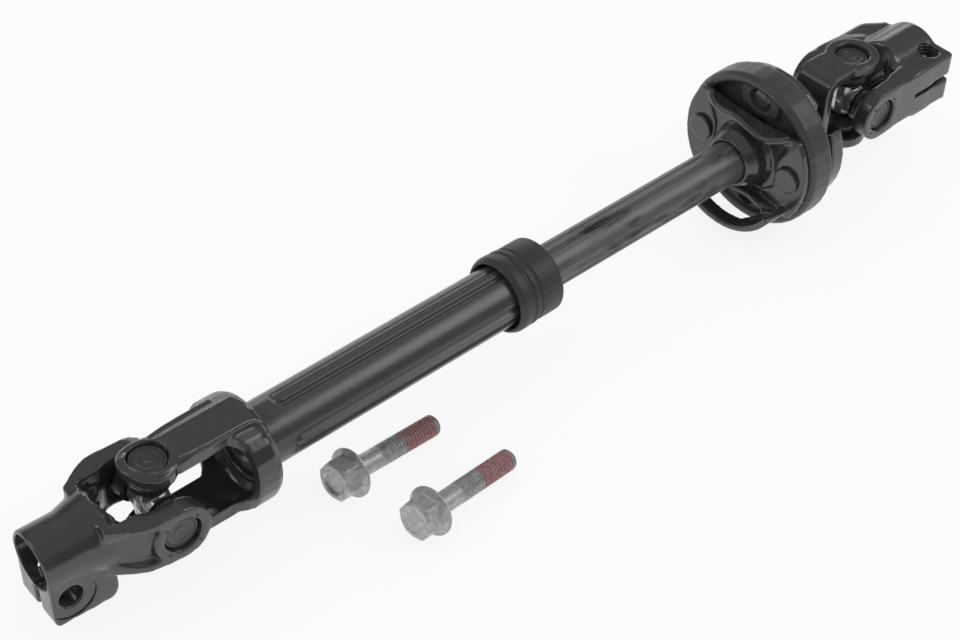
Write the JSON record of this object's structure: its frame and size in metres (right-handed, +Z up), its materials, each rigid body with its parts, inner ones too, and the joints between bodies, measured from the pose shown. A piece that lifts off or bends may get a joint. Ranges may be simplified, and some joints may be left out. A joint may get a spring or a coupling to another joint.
{
  "type": "steering shaft",
  "caption": "Telescoping steering intermediate shaft with a cross joint and clamp yoke at each end, a riveted rubber coupling and two loose pinch bolts.",
  "frame": {"origin": "on the ground under the middle of the whole part, with the shaft lying along X and the loose bolts beside it", "axes": "+X along the shaft from the lower clamp yoke to the upper one, +Y away from the loose bolts, +Z up"},
  "size_m": [0.4182, 0.0859, 0.063],
  "materials": {
    "black_paint": "gloss black paint on pressed and forged steel",
    "tube_paint": "satin black paint on drawn tube",
    "grey_plastic": "dark grey moulded plastic, satin",
    "shaft_steel": "graphite-dark coated steel with streaks",
    "rubber": "satin black rubber",
    "seal_rubber": "ridged dark seal rubber",
    "cup_steel": "black coated bearing steel",
    "bare_steel": "ground bare steel",
    "needle_steel": "polished roller steel",
    "zinc": "grey zinc flake with a dull red patch on the thread"
  },
  "bodies": {
    "tube": {"outer_tube": "tube_paint", "tube_yoke": "black_paint", "tube_collar": "grey_plastic", "lower_cup_top": "cup_steel", "lower_cup_bottom": "cup_steel", "lower_needles_top": "needle_steel", "lower_needles_bottom": "needle_steel"},
    "lower_cross": {"lower_cross": "bare_steel", "lower_seal_top": "seal_rubber", "lower_seal_bottom": "seal_rubber", "lower_seal_front": "seal_rubber", "lower_seal_rear": "seal_rubber"},
    "lower_clamp": {"lower_clamp_yoke": "black_paint", "lower_cup_front": "cup_steel", "lower_cup_rear": "cup_steel", "lower_needles_front": "needle_steel", "lower_needles_rear": "needle_steel"},
    "slider": {"inner_shaft": "shaft_steel", "lower_flange": "black_paint", "coupling_ring": "rubber", "rivet_left": "black_paint", "rivet_top": "black_paint", "rivet_right": "black_paint", "rivet_bottom": "black_paint", "upper_flange": "black_paint", "upper_stub_shaft": "shaft_steel", "upper_flange_yoke": "black_paint", "upper_cup_top": "cup_steel", "upper_cup_bottom": "cup_steel", "upper_needles_top": "needle_steel", "upper_needles_bottom": "needle_steel"},
    "upper_cross": {"upper_cross": "bare_steel", "upper_seal_top": "seal_rubber", "upper_seal_bottom": "seal_rubber", "upper_seal_front": "seal_rubber", "upper_seal_rear": "seal_rubber"},
    "upper_clamp": {"upper_clamp_yoke": "black_paint", "upper_cup_front": "cup_steel", "upper_cup_rear": "cup_steel", "upper_needles_front": "needle_steel", "upper_needles_rear": "needle_steel"},
    "left_bolt": {"pinch_bolt_left": "zinc"},
    "right_bolt": {"pinch_bolt_right": "zinc"}
  },
  "joints": [
    {"name": "lower_cross_swing", "type": "hinge", "parent": "tube", "child": "lower_cross", "pos_m": [-0.1654, 0.01148, 0.0315], "axis": [0, 0, 1], "range_deg": [-30, 30]},
    {"name": "lower_clamp_swing", "type": "hinge", "parent": "lower_cross", "child": "lower_clamp", "pos_m": [-0.1654, 0.01148, 0.0315], "axis": [0.0767, 0.9971, 0], "range_deg": [-28, 28]},
    {"name": "telescope", "type": "slide", "parent": "tube", "child": "slider", "axis": [1, 0, 0], "range_m": [-0.055, 0.02]},
    {"name": "upper_cross_swing", "type": "hinge", "parent": "slider", "child": "upper_cross", "pos_m": [0.1675, 0.01148, 0.0315], "axis": [0, 0, 1], "range_deg": [-28, 28]},
    {"name": "upper_clamp_swing", "type": "hinge", "parent": "upper_cross", "child": "upper_clamp", "pos_m": [0.1675, 0.01148, 0.0315], "axis": [0, 1, 0], "range_deg": [-28, 28]},
    {"name": "left_bolt_lift", "type": "slide", "parent": "tube", "child": "left_bolt", "axis": [0, -0.6, 0.8], "range_m": [0, 0.05]},
    {"name": "right_bolt_lift", "type": "slide", "parent": "tube", "child": "right_bolt", "axis": [0, -0.6, 0.8], "range_m": [0, 0.05]}
  ]
}
